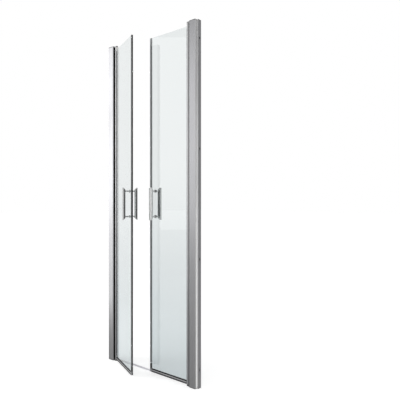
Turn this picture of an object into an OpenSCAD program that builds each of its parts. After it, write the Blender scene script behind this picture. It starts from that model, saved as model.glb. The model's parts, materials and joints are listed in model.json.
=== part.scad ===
// Two-leaf hinged shower door for an alcove: two wall channels, two hollow posts that
// slide over them, two clear glass leaves that swing both ways, and a low threshold.
// X runs along the width, Z is up and minus Y is the outside, where people walk in.
// The origin is on the floor, at the middle of the width, on the channels' middle line.
// Frame pieces are drawn from the wall, leaf pieces from the pivot axis.

/* [Door] */
// Overall width over the two wall channels
door_w = 730; // [660:1:900]
// Overall height from the floor to the top of the posts
door_h = 1950; // [1800:1:2100]
// Angle of the left leaf, opened outwards
left_open = 22.5; // [0:0.5:60]

/* [Wall channel] */
// Width of the channel over its two legs
channel_w = 24; // [20:0.5:26]
// Reach of the channel's legs from the wall
channel_reach = 36; // [28:0.5:38]
// Thickness of the channel's base
channel_base_t = 2; // [1.5:0.1:3]
// Thickness of the channel's legs
channel_leg_t = 1.6; // [1.2:0.1:2]
// Diameter of a wall screw hole
wall_hole_d = 6; // [4.5:0.1:7]
// Number of wall screw holes in a channel
wall_holes = 4; // [2:1:6]
// Height of the lowest wall screw hole
wall_hole_z = 97.5; // [60:0.5:140]

/* [Post] */
// Distance from the wall to the post's near edge
post_set = 10; // [5:0.5:14]
// Distance from the wall to the post's end beside the leaf
post_reach = 54; // [54:0.5:56]
// Distance from the channel's middle line to the post's front face
post_front = 25.4; // [25.4:0.1:28]
// Wall thickness of the post
post_t = 1.6; // [1.2:0.1:2]
// Slide clearance between the post and the channel
slide_gap = 0.3; // [0.1:0.05:0.5]
// Radius of the post's front corner beside the leaf
post_corner_r = 5; // [3:0.1:5.5]
// Thickness of the plate on a post's end
cap_t = 3; // [2.5:0.1:4]
// Thickness of the black gasket on the post's end face
pad_t = 2.5; // [1.5:0.1:4]

/* [Hinge] */
// Distance from the wall to the pivot axis
axis_reach = 70; // [69:0.5:75]
// Distance from the channel's middle line to the plane of the glass
glass_off = 11; // [10.8:0.1:12]
// Radius of the hinge barrel
barrel_r = 8.6; // [8.5:0.1:8.9]
// Radius of the barrel's bore, which holds a bush at each end
barrel_bore_r = 4.6; // [4.5:0.1:4.7]
// Radius of a pivot block's round end
block_r = 8.4; // [8:0.1:8.6]
// Height of the bottom pivot block
bottom_block_h = 8; // [6:0.5:10]
// Height of the top pivot block
top_block_h = 7; // [6:0.5:14]
// Diameter of a pivot pin
pin_d = 6; // [5:0.1:6.4]
// Radial running clearance of a pin in its bush
pin_fit = 0.05; // [0.02:0.01:0.1]
// Depth that a pin enters the barrel
pin_reach = 18; // [12:0.5:20]
// Thickness of a bush's flange
bush_flange_t = 1.2; // [0.8:0.1:2]
// Gap between a moving piece and the frame
run_gap = 0.3; // [0.3:0.05:0.5]

/* [Glass] */
// Thickness of the glass
glass_t = 6; // [5:0.5:6]
// Thickness of the gasket between the glass and the barrel
glazing_t = 1.2; // [0.8:0.1:1.4]
// Distance from the top of the posts to the top of the glass
glass_drop = 22; // [18:0.5:40]
// Distance from the door's middle to the dark edge profile of a shut leaf
edge_half_gap = 5.8; // [5.6:0.1:8]

/* [Free edge] */
// Width of the dark profile on the glass's free edge
edge_w = 12.1; // [11.5:0.1:16]
// Thickness of the dark profile, front to back
edge_t = 9; // [8.8:0.1:12]
// Wall thickness of the dark profile
edge_wall = 1.2; // [1:0.1:1.4]
// Height of the dark end block below the profile
edge_foot_h = 28; // [15:1:60]
// Gap between the end block and the profile
edge_foot_gap = 5; // [1:0.5:12]
// Gap between the two clear seals when both leaves are shut
seal_meet = 1; // [0.8:0.1:1.2]
// Thickness of the clear seal's bulb, front to back
seal_t = 8; // [6:0.1:8.4]
// Wall thickness of the clear seal's bulb
seal_wall = 0.9; // [0.6:0.1:1.1]

/* [Bottom rail] */
// Height of the rail's lower edge above the floor
rail_z0 = 12.5; // [12:0.1:13]
// Height of the rail
rail_h = 9; // [8.5:0.5:14]
// Thickness of the rail, front to back
rail_t = 11; // [10.8:0.1:14]
// Depth of the flute along the rail's two faces
rail_flute = 0.6; // [0.3:0.1:0.7]
// Height of the dark gasket lip on top of the rail
lip_h = 5; // [2:0.1:6]
// Height of the drip seal below the rail
drip_h = 5.1; // [3:0.1:5.3]

/* [Handle] */
// Height of the handles' middle
handle_z = 974; // [850:1:1150]
// Distance between a handle's two posts
handle_pitch = 145; // [100:1:147]
// Length of a handle bar on its outer face
bar_l = 187; // [186:1:260]
// Width of a handle bar, along the leaf
bar_w = 18; // [12:0.5:26]
// Depth of a handle bar
bar_d = 16; // [12:0.5:16]
// Distance from the plane of the glass to the middle of a bar
bar_off = 34.8; // [32:0.1:50]
// Distance from the dark edge to the handle's middle
handle_inset = 40.5; // [34:0.1:60]
// Diameter of a handle post
hpost_d = 8; // [7.5:0.1:9]
// Diameter of the stud through the glass
stud_d = 4; // [3:0.1:5]
// Diameter of a handle hole in the glass
glass_hole_d = 12; // [9:0.1:14]
// Diameter of the clear washer on the glass
washer_d = 16; // [15:0.1:20]
// Thickness of the clear washer
washer_t = 1.5; // [0.8:0.1:2.5]

/* [Threshold] */
// Height of the threshold rail
thresh_h = 6.5; // [5.5:0.1:7]
// Width of the threshold rail, front to back
thresh_w = 15; // [13:0.5:15]
// Distance from the channel's middle line to the rail's front edge
thresh_front = 2; // [1:0.1:2.2]
// Wall thickness of the threshold rail
thresh_wall = 1.6; // [1.2:0.1:2]

/* [Fixings] */
// Number of fixing screws between a post and its channel
fixings = 3; // [2:1:5]
// Height of the lowest fixing screw
fixing_z = 200; // [120:1:300]
// Diameter of a fixing screw's shank
fixing_d = 4; // [3:0.1:4.5]
// Diameter of the snap cover over a fixing screw
cover_d = 13; // [12:0.1:15]

/* [Hidden] */
$fn = 96;
eps = 0.01;
half_w = door_w / 2;
axis_x = half_w - axis_reach;
post_end_x = half_w - post_reach;
wall_pitch = (door_h - 2 * wall_hole_z) / (wall_holes - 1);
fixing_pitch = (door_h - 2 * fixing_z) / (fixings - 1);
fixing_u = (post_set + channel_reach) / 2;

// The post's guide walls run either side of the channel
guide = channel_w / 2 + slide_gap;
guide_out = guide + post_t;
room_end = channel_reach + 2;
post_z0 = cap_t;
post_z1 = door_h - cap_t;
fit_gap = 0.1;

// Groove in the post's end wall, which holds the gasket's foot
groove_y = -5;
groove_w = 2;
groove_lip = 1.2;
foot_w = 4.6;
foot_h = 1.8;

// Screw port in the post's end chamber, and the screw into a pivot block's tongue
screw_d = 3.6;
screw_l = 12;
head_d = 7;
head_t = 2.2;
port_r = 3.4;
port_off = 3;
port = [post_reach - post_t - port_off, guide - port_off];
tongue_u = 26;
tongue_h = 10;
tongue_screw = [34, (-post_front + post_t - guide_out) / 2];

// Heights of the leaf's ends between the two pivot blocks
barrel_z0 = bottom_block_h + run_gap + bush_flange_t;
barrel_z1 = door_h - top_block_h - run_gap - bush_flange_t;
pad_z0 = bottom_block_h + run_gap;
pad_z1 = door_h - top_block_h - run_gap;
bush_r = pin_d / 2 + pin_fit;
bush_l = pin_reach + 4;
slot_half = glass_t / 2 + glazing_t;
jaw_end = 7.8;
flange_r = 8;
barrel_wall = 1.3;
nose_front = 1;
nose_back = 7;

leaf_r = axis_x - edge_half_gap;
seal_r = axis_x - seal_meet / 2;
glass_x0 = glazing_t;
edge_x0 = leaf_r - edge_w;
lip_x = leaf_r - edge_wall;
groove_x = lip_x - 2.2;
glass_x1 = groove_x - edge_wall;
glass_z0 = rail_z0 + 4;
glass_z1 = door_h - glass_drop;
notch_x = barrel_r + 0.2;
notch_z0 = barrel_z0 + bush_l + 1.5;
notch_z1 = barrel_z1 - bush_l - 1.5;
rail_z1 = rail_z0 + rail_h;
rail_x0 = barrel_r + 0.5;
rail_x1 = edge_x0 - 0.2;
rail_gasket_t = 1;
lip_z = rail_z1 + lip_h;
leaf_z = 8;
foot_z1 = lip_z + edge_foot_h;
seal_foot_w = 3.8;
seal_neck_w = 1.6;

handle_x = leaf_r - handle_inset;
bar_in = bar_off - bar_d / 2;
bar_out = bar_off + bar_d / 2;
hpost_in = glass_t / 2 + washer_t;
spigot_d = hpost_d - 2;
spigot_l = 5;
stud_depth = 11;

// Places a frame piece at its wall
module left_wall() translate([-half_w, 0, 0]) children();
module right_wall() mirror([1, 0, 0]) left_wall() children();

// Places a leaf piece on its pivot axis
module left_leaf() translate([-axis_x, -glass_off, 0]) rotate([0, 0, -left_open]) children();
module right_leaf() mirror([1, 0, 0]) translate([-axis_x, -glass_off, 0]) children();

// Turns a piece that stands on the floor upside down under the door's top
module at_top() translate([0, 0, door_h]) mirror([0, 0, 1]) children();

module aluminium() color("silver") children();
module steel() color("lightgray") children();
module dark_grey() color("dimgray") children();
module black_rubber() color("black") children();
module clear_plastic() color("whitesmoke") children();

module rect(x0, y0, x1, y1) translate([x0, y0]) square([x1 - x0, y1 - y0]);

module round_rect(x0, y0, x1, y1, r) {
    rect(x0 + r, y0, x1 - r, y1);
    rect(x0, y0 + r, x1, y1 - r);
    for (x = [x0 + r, x1 - r], y = [y0 + r, y1 - r]) translate([x, y]) circle(r);
}

// Wall channel, open towards the post

module channel_outline() {
    rect(0, -channel_w / 2, channel_base_t, channel_w / 2);
    rect(0, channel_w / 2 - channel_leg_t, channel_reach, channel_w / 2);
    rect(0, -channel_w / 2, channel_reach, -channel_w / 2 + channel_leg_t);
}

module wall_channel() aluminium() difference() {
    linear_extrude(door_h) channel_outline();
    for (i = [0 : wall_holes - 1])
        translate([-eps, 0, wall_hole_z + i * wall_pitch]) rotate([0, 90, 0])
            cylinder(h = channel_base_t + 2 * eps, d = wall_hole_d);
    for (i = [0 : fixings - 1])
        translate([fixing_u, channel_w / 2 + eps, fixing_z + i * fixing_pitch])
            rotate([90, 0, 0]) cylinder(h = channel_leg_t + 2 * eps, d = fixing_d);
}

// Post: a front chamber, a room that slides over the channel and an end chamber

module post_silhouette() {
    rect(post_set, -post_front + post_corner_r, post_reach, guide_out);
    rect(post_set, -post_front, post_reach - post_corner_r, guide_out);
    translate([post_reach - post_corner_r, -post_front + post_corner_r]) circle(post_corner_r);
}

module channel_room() rect(post_set - 1, -guide, room_end, guide);

module front_chamber() {
    inner_r = post_corner_r - post_t;
    rect(post_set + post_t, -post_front + post_t, post_reach - post_corner_r, -guide_out);
    rect(post_set + post_t, -post_front + post_corner_r, post_reach - post_t, -guide_out);
    translate([post_reach - post_corner_r, -post_front + post_corner_r]) circle(inner_r);
}

module end_chamber() difference() {
    rect(room_end + post_t, -guide, post_reach - post_t, guide);
    translate(port) circle(port_r);
    rect(post_reach - groove_lip - foot_h - groove_lip, groove_y - foot_w / 2 - groove_lip,
        post_reach, groove_y + foot_w / 2 + groove_lip);
}

module gasket_groove(slack) {
    rect(post_reach - groove_lip - 1, groove_y - groove_w / 2, post_reach + eps, groove_y + groove_w / 2);
    rect(post_reach - groove_lip - foot_h + slack, groove_y - foot_w / 2 + slack,
        post_reach - groove_lip, groove_y + foot_w / 2 - slack);
}

module post() aluminium() difference() {
    translate([0, 0, post_z0]) linear_extrude(post_z1 - post_z0) difference() {
        post_silhouette();
        channel_room();
        front_chamber();
        end_chamber();
        gasket_groove(0);
        translate(port) circle(d = screw_d + 2 * fit_gap);
    }
    for (i = [0 : fixings - 1])
        translate([fixing_u, guide_out + eps, fixing_z + i * fixing_pitch])
            rotate([90, 0, 0]) cylinder(h = post_t + 2 * eps, d = fixing_d);
    tongue_notch(bottom_block_h);
    at_top() tongue_notch(top_block_h);
}

// Opening in the post's end wall, through which a pivot block's tongue enters
module tongue_notch(h) translate([0, 0, -eps]) linear_extrude(h + fit_gap)
    rect(post_reach - post_t - eps, -post_front + post_corner_r - fit_gap,
        post_reach + eps, -guide_out + eps);

// Black gasket: a pad on the post's end face, with a hollow nose that meets the barrel

module post_gasket() black_rubber() translate([0, 0, pad_z0])
    linear_extrude(pad_z1 - pad_z0) difference() {
        union() {
            pad_outline();
            gasket_groove(fit_gap);
            nose_outline(0);
        }
        nose_outline(1.4);
    }

module pad_outline() rect(post_reach, -post_front + post_corner_r - 1, post_reach + pad_t, guide - 3.3);

module nose_outline(wall) difference() {
    rect(post_reach + pad_t - eps + wall, -glass_off - nose_front + wall,
        axis_reach, -glass_off + nose_back - wall);
    translate([axis_reach, -glass_off]) circle(barrel_r + run_gap + wall);
}

// End caps of the posts: a plate with two plugs

module cap_plug() {
    translate([0, 0, cap_t]) linear_extrude(6) {
        rect(room_end + post_t + fit_gap, -guide + fit_gap, room_end + post_t + 5, guide - fit_gap);
        rect(post_set + post_t + fit_gap, -post_front + post_t + fit_gap,
            post_set + post_t + 9, -guide_out - fit_gap);
    }
}

module end_cap() dark_grey() difference() {
    union() {
        linear_extrude(cap_t) difference() {
            post_silhouette();
            channel_room();
        }
        cap_plug();
    }
    for (p = [port, tongue_screw]) translate([p[0], p[1], -eps]) {
        cylinder(h = cap_t + 2 * eps, d = screw_d + 2 * fit_gap);
        cylinder(h = head_t + eps, d = head_d + 2 * fit_gap);
    }
}

// Pivot blocks: a round-ended block beside the post, on a tongue in its front chamber

module pivot_block(h) difference() {
    y0 = -post_front + post_corner_r;
    y1 = -guide_out - fit_gap;
    union() {
        linear_extrude(h) {
            polygon([
                [post_reach, y0], [axis_reach, -glass_off - block_r],
                [axis_reach, -glass_off + block_r], [post_reach, -glass_off + block_r]
            ]);
            translate([axis_reach, -glass_off]) circle(block_r);
        }
        translate([0, 0, cap_t]) linear_extrude(h - cap_t)
            rect(post_reach - post_t - 1, y0, post_reach + 1, y1);
        translate([0, 0, cap_t]) linear_extrude(tongue_h) {
            rect(tongue_u, y0, post_reach - post_t - fit_gap, y1);
            rect(tongue_u, -post_front + post_t + fit_gap, post_reach - post_corner_r - 1, y1);
        }
    }
    translate([axis_reach, -glass_off, 1]) cylinder(h = h, d = pin_d);
    translate([tongue_screw[0], tongue_screw[1], 0]) cylinder(h = screw_l, d = screw_d + fit_gap);
}

module bottom_pivot_block() dark_grey() pivot_block(bottom_block_h);
module top_pivot_block() aluminium() pivot_block(top_block_h);

module pivot_pin(h) translate([axis_reach, -glass_off, 1])
    cylinder(h = h - 1 + run_gap + bush_flange_t + pin_reach, d = pin_d);

module pivot_pins() steel() {
    pivot_pin(bottom_block_h);
    at_top() pivot_pin(top_block_h);
}

module cap_screw(p) translate([p[0], p[1], 0]) difference() {
    union() {
        cylinder(h = screw_l, d = screw_d);
        cylinder(h = head_t, d = head_d);
    }
    translate([0, 0, -eps]) cylinder(h = 1.2, d = 3, $fn = 6);
}

module cap_screws() steel() for (p = [port, tongue_screw]) {
    cap_screw(p);
    at_top() cap_screw(p);
}

module at_fixings() for (i = [0 : fixings - 1])
    translate([fixing_u, guide_out, fixing_z + i * fixing_pitch]) rotate([-90, 0, 0]) children();

module fixing_screws() steel() at_fixings() difference() {
    union() {
        cylinder(h = head_t, d = head_d);
        translate([0, 0, -9]) cylinder(h = 9 + eps, d = fixing_d);
    }
    translate([0, 0, head_t - 1.2]) cylinder(h = 1.2 + eps, d = 3, $fn = 6);
}

module screw_covers() aluminium() at_fixings() difference() {
    union() {
        cylinder(h = 2.6, d = cover_d);
        translate([0, 0, 2.6]) cylinder(h = 0.9, d1 = cover_d, d2 = cover_d - 2.5);
    }
    translate([0, 0, -eps]) cylinder(h = head_t + 0.2, d = head_d + 2.5);
}

// Threshold: a sloped hollow rail between the posts, behind the leaves

module threshold_outline() {
    back = thresh_w - thresh_front;
    difference() {
        polygon([
            [-thresh_front, 0], [back, 0], [back, thresh_h - 1],
            [back - 1, thresh_h], [back - 7, thresh_h], [-thresh_front, thresh_wall]
        ]);
        polygon([
            [back - 9.6, -eps], [back - thresh_wall, -eps], [back - thresh_wall, thresh_h - thresh_wall],
            [back - 6.8, thresh_h - thresh_wall], [back - 9.6, thresh_h - 3.4]
        ]);
    }
}

module threshold_rail() aluminium() translate([-post_end_x, 0, 0]) rotate([90, 0, 90])
    linear_extrude(2 * post_end_x) threshold_outline();

// Hinge barrel: a bore for the bushes, a slot for the glass and four thin chambers

module barrel_chamber(a0, a1) difference() {
    intersection() {
        circle(barrel_r - barrel_wall);
        polygon([[0, 0], 20 * [cos(a0), sin(a0)], 20 * [cos((a0 + a1) / 2), sin((a0 + a1) / 2)],
            20 * [cos(a1), sin(a1)]]);
    }
    circle(barrel_bore_r + barrel_wall);
}

module hinge_barrel() aluminium() translate([0, 0, barrel_z0])
    linear_extrude(barrel_z1 - barrel_z0) difference() {
        circle(barrel_r);
        circle(barrel_bore_r);
        rect(0, -slot_half, barrel_r + 1, slot_half);
        for (s = [-1, 1]) {
            barrel_chamber(s * 66, s * 118);
            barrel_chamber(s * 125, s * 176);
        }
    }

// Bush: a thrust flange, and a plug that fills the bore and the end of the slot

module bush() clear_plastic() difference() {
    union() {
        cylinder(h = bush_flange_t, r = flange_r);
        translate([0, 0, bush_flange_t - eps]) linear_extrude(bush_l + eps) {
            circle(barrel_bore_r);
            rect(0, -slot_half, jaw_end, slot_half);
        }
    }
    translate([0, 0, -eps]) cylinder(h = bush_flange_t + pin_reach + 1, r = bush_r);
}

module bottom_bush() translate([0, 0, barrel_z0 - bush_flange_t]) bush();
module top_bush() translate([0, 0, barrel_z1 + bush_flange_t]) mirror([0, 0, 1]) bush();

// Glass: notched round the bushes at its hinge corners, with two handle holes

module glass() color("lightcyan") rotate([90, 0, 0]) translate([0, 0, -glass_t / 2])
    linear_extrude(glass_t) difference() {
        rect(glass_x0, glass_z0, glass_x1, glass_z1);
        rect(-1, 0, notch_x, notch_z0);
        rect(-1, notch_z1, notch_x, door_h);
        for (s = [-1, 1]) translate([handle_x, handle_z + s * handle_pitch / 2])
            circle(d = glass_hole_d);
    }

module glazing_gasket() black_rubber() translate([0, 0, notch_z0])
    linear_extrude(notch_z1 - notch_z0) difference() {
        rect(0, -slot_half, barrel_r, slot_half);
        rect(glass_x0, -glass_t / 2, barrel_r + 1, glass_t / 2);
    }

// Free edge: a dark profile with a groove for the clear seal

module seal_groove(slack) {
    rect(groove_x + slack, -seal_foot_w / 2 + slack, lip_x, seal_foot_w / 2 - slack);
    rect(lip_x - 1, -seal_neck_w / 2, leaf_r + 1, seal_neck_w / 2);
}

module edge_outline(t) difference() {
    round_rect(edge_x0, -t / 2, leaf_r, t / 2, 0.8);
    seal_groove(0);
}

module glass_slot() rect(edge_x0 - 1, -glass_t / 2, glass_x1, glass_t / 2);

module edge_profile() dark_grey() translate([0, 0, foot_z1 + edge_foot_gap])
    linear_extrude(glass_z1 - foot_z1 - edge_foot_gap) difference() {
        edge_outline(edge_t);
        glass_slot();
    }

module edge_foot() dark_grey() translate([0, 0, lip_z]) linear_extrude(edge_foot_h) difference() {
    edge_outline(edge_t);
    glass_slot();
}

module rail_end_cap() aluminium() difference() {
    translate([0, 0, leaf_z]) linear_extrude(lip_z - leaf_z) edge_outline(rail_t);
    translate([0, 0, glass_z0]) linear_extrude(lip_z) glass_slot();
}

module edge_seal() clear_plastic() translate([0, 0, leaf_z])
    linear_extrude(glass_z1 - leaf_z) difference() {
        union() {
            round_rect(leaf_r, -seal_t / 2, seal_r, seal_t / 2, 2.4);
            rect(leaf_r, -seal_t / 2, leaf_r + seal_wall, seal_t / 2);
            intersection() {
                seal_groove(fit_gap);
                rect(groove_x, -seal_t, leaf_r + 0.5, seal_t);
            }
        }
        round_rect(leaf_r + seal_wall, -seal_t / 2 + seal_wall, seal_r - seal_wall,
            seal_t / 2 - seal_wall, 1.2);
    }

// Bottom rail: fluted faces, a slot for the glass above and a groove for the drip seal

module along_rail() translate([rail_x0, 0, 0]) rotate([90, 0, 90])
    linear_extrude(rail_x1 - rail_x0) children();

module drip_groove(slack) {
    rect(-seal_neck_w / 2, rail_z0 - 1, seal_neck_w / 2, rail_z0 + 1.2);
    rect(-seal_foot_w / 2 + slack, rail_z0 + 0.7, seal_foot_w / 2 - slack, rail_z0 + 2.2 - slack);
}

module bottom_rail() aluminium() along_rail() difference() {
    round_rect(-rail_t / 2, rail_z0, rail_t / 2, rail_z1, 0.8);
    rect(-glass_t / 2 - rail_gasket_t, glass_z0 - rail_gasket_t, glass_t / 2 + rail_gasket_t, rail_z1 + 1);
    for (s = [-1, 1]) translate([s * rail_t / 2, 0])
        rect(-rail_flute, rail_z0 + 3.5, rail_flute, rail_z1 - 3.5);
    drip_groove(0);
}

module rail_gasket() black_rubber() along_rail() difference() {
    union() {
        rect(-glass_t / 2 - rail_gasket_t, glass_z0 - rail_gasket_t, glass_t / 2 + rail_gasket_t, lip_z);
        rect(-rail_t / 2, rail_z1, rail_t / 2, rail_z1 + lip_h / 2);
        polygon([
            [-rail_t / 2, rail_z1 + lip_h / 2], [rail_t / 2, rail_z1 + lip_h / 2],
            [glass_t / 2 + rail_gasket_t, lip_z], [-glass_t / 2 - rail_gasket_t, lip_z]
        ]);
    }
    rect(-glass_t / 2, glass_z0, glass_t / 2, lip_z + 1);
}

module drip_seal() dark_grey() along_rail() {
    w = rail_t / 2 - 0.3;
    tip = rail_z0 - drip_h;
    drip_groove(fit_gap);
    polygon([
        [-w, rail_z0], [-w, tip], [-w + 1, tip], [-w + 1.8, rail_z0 - 1.4],
        [w - 1.8, rail_z0 - 1.4], [w - 1, tip], [w, tip], [w, rail_z0]
    ]);
}

// Handles: square bars whose ends are cut at 45 degrees towards the glass

module handle_bar(side) aluminium() difference() {
    translate([handle_x - bar_w / 2, 0, handle_z]) rotate([90, 0, 90]) linear_extrude(bar_w)
        polygon([
            [side * bar_in, -bar_l / 2 + bar_d], [side * bar_out, -bar_l / 2],
            [side * bar_out, bar_l / 2], [side * bar_in, bar_l / 2 - bar_d]
        ]);
    at_handle_posts(side) translate([0, 0, bar_in - 1])
        cylinder(h = spigot_l + 1, d = spigot_d);
}

// Places a piece drawn upwards from the plane of the glass at a handle's two posts
module at_handle_posts(side) for (s = [-1, 1])
    translate([handle_x, 0, handle_z + s * handle_pitch / 2]) rotate([-90 * side, 0, 0]) children();

module handle_posts() aluminium() for (side = [-1, 1]) at_handle_posts(side) difference() {
    union() {
        translate([0, 0, hpost_in]) cylinder(h = bar_in - hpost_in, d = hpost_d);
        translate([0, 0, hpost_in]) cylinder(h = bar_in - hpost_in + spigot_l - 0.3, d = spigot_d);
        translate([0, 0, hpost_in]) cylinder(h = 1.6, d1 = hpost_d + 4, d2 = hpost_d + 3);
    }
    translate([0, 0, hpost_in - eps]) cylinder(h = stud_depth, d = stud_d);
}

module handle_studs() steel() at_handle_posts(1)
    translate([0, 0, -hpost_in - stud_depth + 1]) cylinder(h = 2 * (hpost_in + stud_depth - 1), d = stud_d);

module handle_washers() clear_plastic() for (side = [-1, 1]) at_handle_posts(side) difference() {
    union() {
        translate([0, 0, glass_t / 2]) cylinder(h = washer_t, d = washer_d);
        translate([0, 0, 0.2]) cylinder(h = glass_t / 2, d = glass_hole_d - 2 * fit_gap);
    }
    cylinder(h = glass_t, d = stud_d + 2 * fit_gap);
}

left_wall() wall_channel();  // left_wall_channel
right_wall() wall_channel();  // right_wall_channel
left_wall() post();  // left_post
right_wall() post();  // right_post
left_wall() post_gasket();  // left_post_gasket
right_wall() post_gasket();  // right_post_gasket
left_wall() at_top() end_cap();  // left_top_cap
right_wall() at_top() end_cap();  // right_top_cap
left_wall() end_cap();  // left_bottom_cap
right_wall() end_cap();  // right_bottom_cap
left_wall() at_top() top_pivot_block();  // left_top_pivot_block
right_wall() at_top() top_pivot_block();  // right_top_pivot_block
left_wall() bottom_pivot_block();  // left_bottom_pivot_block
right_wall() bottom_pivot_block();  // right_bottom_pivot_block
left_wall() pivot_pins();  // left_pivot_pins
right_wall() pivot_pins();  // right_pivot_pins
left_wall() cap_screws();  // left_cap_screws
right_wall() cap_screws();  // right_cap_screws
left_wall() fixing_screws();  // left_fixing_screws
right_wall() fixing_screws();  // right_fixing_screws
left_wall() screw_covers();  // left_screw_covers
right_wall() screw_covers();  // right_screw_covers
threshold_rail();
left_leaf() hinge_barrel();  // left_hinge_barrel
right_leaf() hinge_barrel();  // right_hinge_barrel
left_leaf() top_bush();  // left_top_bush
right_leaf() top_bush();  // right_top_bush
left_leaf() bottom_bush();  // left_bottom_bush
right_leaf() bottom_bush();  // right_bottom_bush
left_leaf() glass();  // left_glass
right_leaf() glass();  // right_glass
left_leaf() glazing_gasket();  // left_glazing_gasket
right_leaf() glazing_gasket();  // right_glazing_gasket
left_leaf() edge_profile();  // left_edge_profile
right_leaf() edge_profile();  // right_edge_profile
left_leaf() edge_seal();  // left_edge_seal
right_leaf() edge_seal();  // right_edge_seal
left_leaf() edge_foot();  // left_edge_foot
right_leaf() edge_foot();  // right_edge_foot
left_leaf() rail_end_cap();  // left_rail_end_cap
right_leaf() rail_end_cap();  // right_rail_end_cap
left_leaf() bottom_rail();  // left_bottom_rail
right_leaf() bottom_rail();  // right_bottom_rail
left_leaf() rail_gasket();  // left_rail_gasket
right_leaf() rail_gasket();  // right_rail_gasket
left_leaf() drip_seal();  // left_drip_seal
right_leaf() drip_seal();  // right_drip_seal
left_leaf() handle_bar(-1);  // left_outer_handle
right_leaf() handle_bar(-1);  // right_outer_handle
left_leaf() handle_bar(1);  // left_inner_handle
right_leaf() handle_bar(1);  // right_inner_handle
left_leaf() handle_posts();  // left_handle_posts
right_leaf() handle_posts();  // right_handle_posts
left_leaf() handle_studs();  // left_handle_studs
right_leaf() handle_studs();  // right_handle_studs
left_leaf() handle_washers();  // left_handle_washers
right_leaf() handle_washers();  // right_handle_washers
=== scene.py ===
"""Looks of a two-leaf hinged shower door: anodised frame, clear glass, square bar handles."""

import json
import logging
import math
from collections.abc import Callable, Sequence
from dataclasses import dataclass
from enum import Enum

import bpy
from mathutils import Matrix, Vector


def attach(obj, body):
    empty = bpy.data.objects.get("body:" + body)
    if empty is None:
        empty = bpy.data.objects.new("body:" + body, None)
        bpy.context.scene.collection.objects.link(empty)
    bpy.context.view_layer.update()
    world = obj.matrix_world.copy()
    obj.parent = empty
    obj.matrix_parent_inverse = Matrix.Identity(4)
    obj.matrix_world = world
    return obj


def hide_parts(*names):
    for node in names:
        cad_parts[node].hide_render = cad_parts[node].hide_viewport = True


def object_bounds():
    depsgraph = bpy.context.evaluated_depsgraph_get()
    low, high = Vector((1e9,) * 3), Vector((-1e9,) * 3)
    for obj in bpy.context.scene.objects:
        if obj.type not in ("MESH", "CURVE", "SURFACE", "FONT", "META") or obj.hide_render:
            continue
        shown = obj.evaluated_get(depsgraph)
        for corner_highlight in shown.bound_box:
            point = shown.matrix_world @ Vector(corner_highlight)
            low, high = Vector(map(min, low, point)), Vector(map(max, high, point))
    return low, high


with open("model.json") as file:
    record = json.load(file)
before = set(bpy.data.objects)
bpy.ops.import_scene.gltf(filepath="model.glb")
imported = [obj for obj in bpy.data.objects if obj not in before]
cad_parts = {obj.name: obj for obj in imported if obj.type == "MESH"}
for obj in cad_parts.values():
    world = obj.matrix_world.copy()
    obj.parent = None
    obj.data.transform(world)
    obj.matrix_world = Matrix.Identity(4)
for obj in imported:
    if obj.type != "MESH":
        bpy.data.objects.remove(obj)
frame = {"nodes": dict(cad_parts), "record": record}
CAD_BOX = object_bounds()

MM = 0.001

# Places on the solids, in metres.
HALF_WIDTH, _, HEIGHT = CAD_BOX[1]
GLASS_PLANE = -11 * MM  # Y of the shut panes' middle
AXIS_X = HALF_WIDTH - 70 * MM  # hinge axes, left and right of the middle
LEFT_OPEN = math.radians(22.5)  # how far the left leaf is drawn open
POST_WALL_X = HALF_WIDTH - 10.2 * MM  # just before the posts' end faces at the wall
WALL_X = HALF_WIDTH - 0.2 * MM  # just before the wall
CHANNEL_HALF = 12 * MM  # half the width of a wall channel
WALL_HOLE_Z = 97.5 * MM  # height of the lowest wall screw hole
WALL_HOLE_PITCH = (HEIGHT - 2 * WALL_HOLE_Z) / 3  # from one of the four holes to the next
WALL_HOLE_RIM = 5.2 * MM  # reach of a hole's dark rim from its middle line
FLUTE_TOP = 15.8 * MM  # upper edge of a bottom rail's lowest flute
STRIP_END = AXIS_X - 5.8 * MM  # end of a free edge's strip, from the hinge axis
SEAT_REACH = 4.9 * MM  # reach of the dark slot for the seal round that end

# Painted light and shade: metal and glass drift from their foot colour at the floor to their head
# colour at this height, most of them darker at the foot.
PAINTED_DRIFT_HEIGHT = 1250 * MM
# The middle of a noise's values, which is stretched over the range that is wanted.
NOISE_MIDDLE = (0.3, 0.7)
# Faces that meet at less than this angle are shaded as one.
SMOOTH_ANGLE = math.radians(40)
# A face is a top face if its normal rises at least so much and it lies so near the highest point.
TOP_NORMAL, TOP_NEAR = 0.9, 0.001 * MM

Tree = bpy.types.NodeTree
Socket = bpy.types.NodeSocket
Colour = Socket | tuple[float, ...]

log = logging.getLogger("shower_door")


class Side(Enum):
    """The two leaves and the jambs that carry them."""

    LEFT = "left"
    RIGHT = "right"

    @property
    def sign(self) -> int:
        """Which way along X this side lies."""
        return -1 if self is Side.LEFT else 1

    @property
    def turn(self) -> float:
        """Angle about Z from the leaf's own length to the row's X, in radians."""
        return -LEFT_OPEN if self is Side.LEFT else math.pi

    @property
    def place(self) -> Matrix:
        """Matrix from the leaf's own axes, at its pivot, to the row frame."""
        move = Matrix.Translation((self.sign * AXIS_X, GLASS_PLANE, 0))
        return move @ Matrix.Rotation(self.turn, 4, "Z")

    @property
    def body(self) -> str:
        """Name of the body that this side's leaf rides on."""
        return f"{self.value}_leaf"


class Grain(Enum):
    """Direction in which an extrusion left its die: along Z or along X."""

    UPRIGHT = "upright"
    ACROSS = "across"


def linear(hex_colour: str) -> tuple[float, float, float, float]:
    """Turns an sRGB hex colour into linear values.

    Args:
        hex_colour: six hex digits after a hash sign.

    Returns:
        Linear red, green, blue and an alpha of 1.
    """
    values = [int(hex_colour[i:i + 2], 16) / 255 for i in (1, 3, 5)]
    parts = [v / 12.92 if v <= 0.04045 else ((v + 0.055) / 1.055) ** 2.4 for v in values]
    return parts[0], parts[1], parts[2], 1.0


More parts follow.
